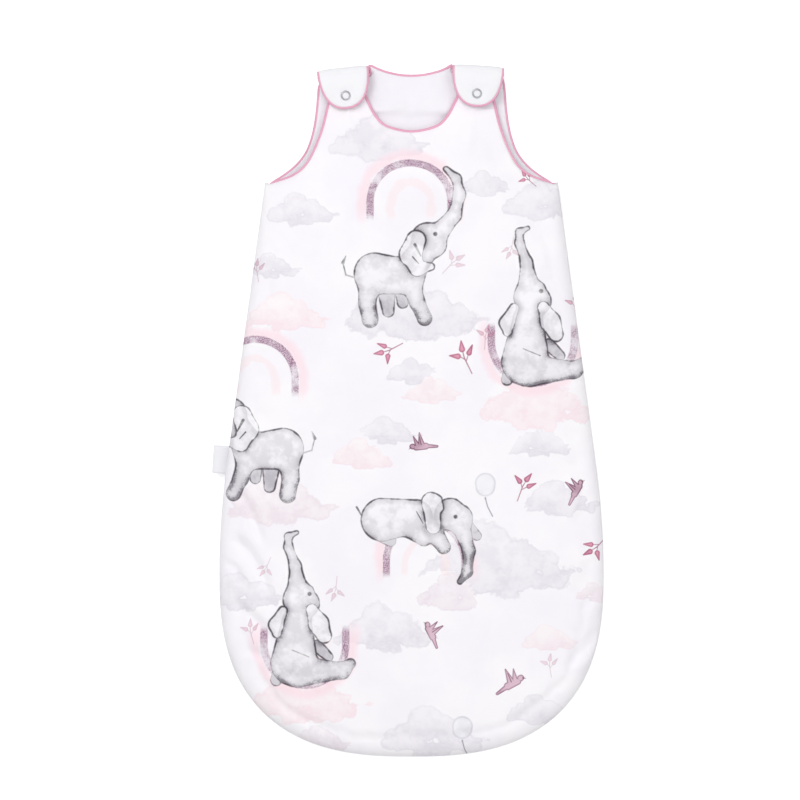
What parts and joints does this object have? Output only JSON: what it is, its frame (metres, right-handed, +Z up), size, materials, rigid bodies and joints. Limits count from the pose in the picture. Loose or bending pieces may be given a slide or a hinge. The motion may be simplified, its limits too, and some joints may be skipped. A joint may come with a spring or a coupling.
{
  "type": "baby sleeping bag",
  "caption": "Sleeveless padded baby sleeping bag with rounded foot, shoulder tabs on press studs, pink piping and a side zip.",
  "frame": {"origin": "middle of the overall length, on the centre line, in the plane that the back lies on", "axes": "+Z up out of the front, +Y towards the head end, +X to the right seen from above"},
  "size_m": [0.3938, 0.6982, 0.03],
  "materials": {
    "printed_cotton": "smooth woven cotton with a pale watercolour print",
    "plain_cotton": "smooth woven white cotton",
    "white_lining": "smooth woven white cotton, matt",
    "wadding": "soft polyester wadding",
    "pink_piping": "folded satin-edged cotton piping",
    "snap_metal": "nickel-plated, soft sheen",
    "label_tape": "woven satin tape, blank",
    "zip_tape": "tightly woven white tape",
    "zip_teeth": "white nylon coil",
    "zip_metal": "white enamel"
  },
  "bodies": {
    "bag": {"back_outer_panel": "printed_cotton", "front_outer_panel": "printed_cotton", "back_edge_roll": "printed_cotton", "front_edge_roll": "printed_cotton", "back_lining": "white_lining", "front_lining": "white_lining", "front_yoke_lining": "white_lining", "back_filling": "wadding", "front_filling": "wadding", "back_neck_piping": "pink_piping", "front_neck_piping": "pink_piping", "back_armhole_piping_left": "pink_piping", "front_armhole_piping_left": "pink_piping", "shoulder_fold_left": "plain_cotton", "snap_stud_left": "snap_metal", "snap_stud_ring_left": "snap_metal", "back_armhole_piping_right": "pink_piping", "front_armhole_piping_right": "pink_piping", "shoulder_fold_right": "plain_cotton", "snap_stud_right": "snap_metal", "snap_stud_ring_right": "snap_metal", "side_label": "label_tape", "zip_tape_back": "zip_tape", "zip_tape_front": "zip_tape", "zip_teeth_back": "zip_teeth", "zip_teeth_front": "zip_teeth", "zip_top_stop": "zip_metal", "zip_bottom_stop": "zip_metal", "zip_garage": "plain_cotton"},
    "tab_left": {"tab_outer_left": "plain_cotton", "tab_lining_left": "white_lining", "tab_filling_left": "wadding", "tab_piping_left": "pink_piping", "snap_cap_left": "snap_metal", "snap_socket_left": "snap_metal"},
    "tab_right": {"tab_outer_right": "plain_cotton", "tab_lining_right": "white_lining", "tab_filling_right": "wadding", "tab_piping_right": "pink_piping", "snap_cap_right": "snap_metal", "snap_socket_right": "snap_metal"},
    "zip_slider": {"zip_slider": "zip_metal"},
    "zip_puller": {"zip_puller": "zip_metal"}
  },
  "joints": [
    {"name": "shoulder_tab_left", "type": "hinge", "parent": "bag", "child": "tab_left", "pos_m": [-0.06848, 0.33461, 0.00985], "axis": [-0.9936, -0.1132, 0], "range_deg": [0, 175], "deforming": ["shoulder_fold_left"]},
    {"name": "shoulder_tab_right", "type": "hinge", "parent": "bag", "child": "tab_right", "pos_m": [0.067, 0.33677, 0.00985], "axis": [-0.9981, 0.061, 0], "range_deg": [0, 175], "deforming": ["shoulder_fold_right"]},
    {"name": "zip_slide", "type": "slide", "parent": "bag", "child": "zip_slider", "axis": [0.134, -0.991, 0], "range_m": [0, 0.26]},
    {"name": "zip_puller_swing", "type": "hinge", "parent": "zip_slider", "child": "zip_puller", "pos_m": [0.14877, 0.21353, 0.0082], "axis": [0, 0, 1], "range_deg": [0, 150]}
  ]
}
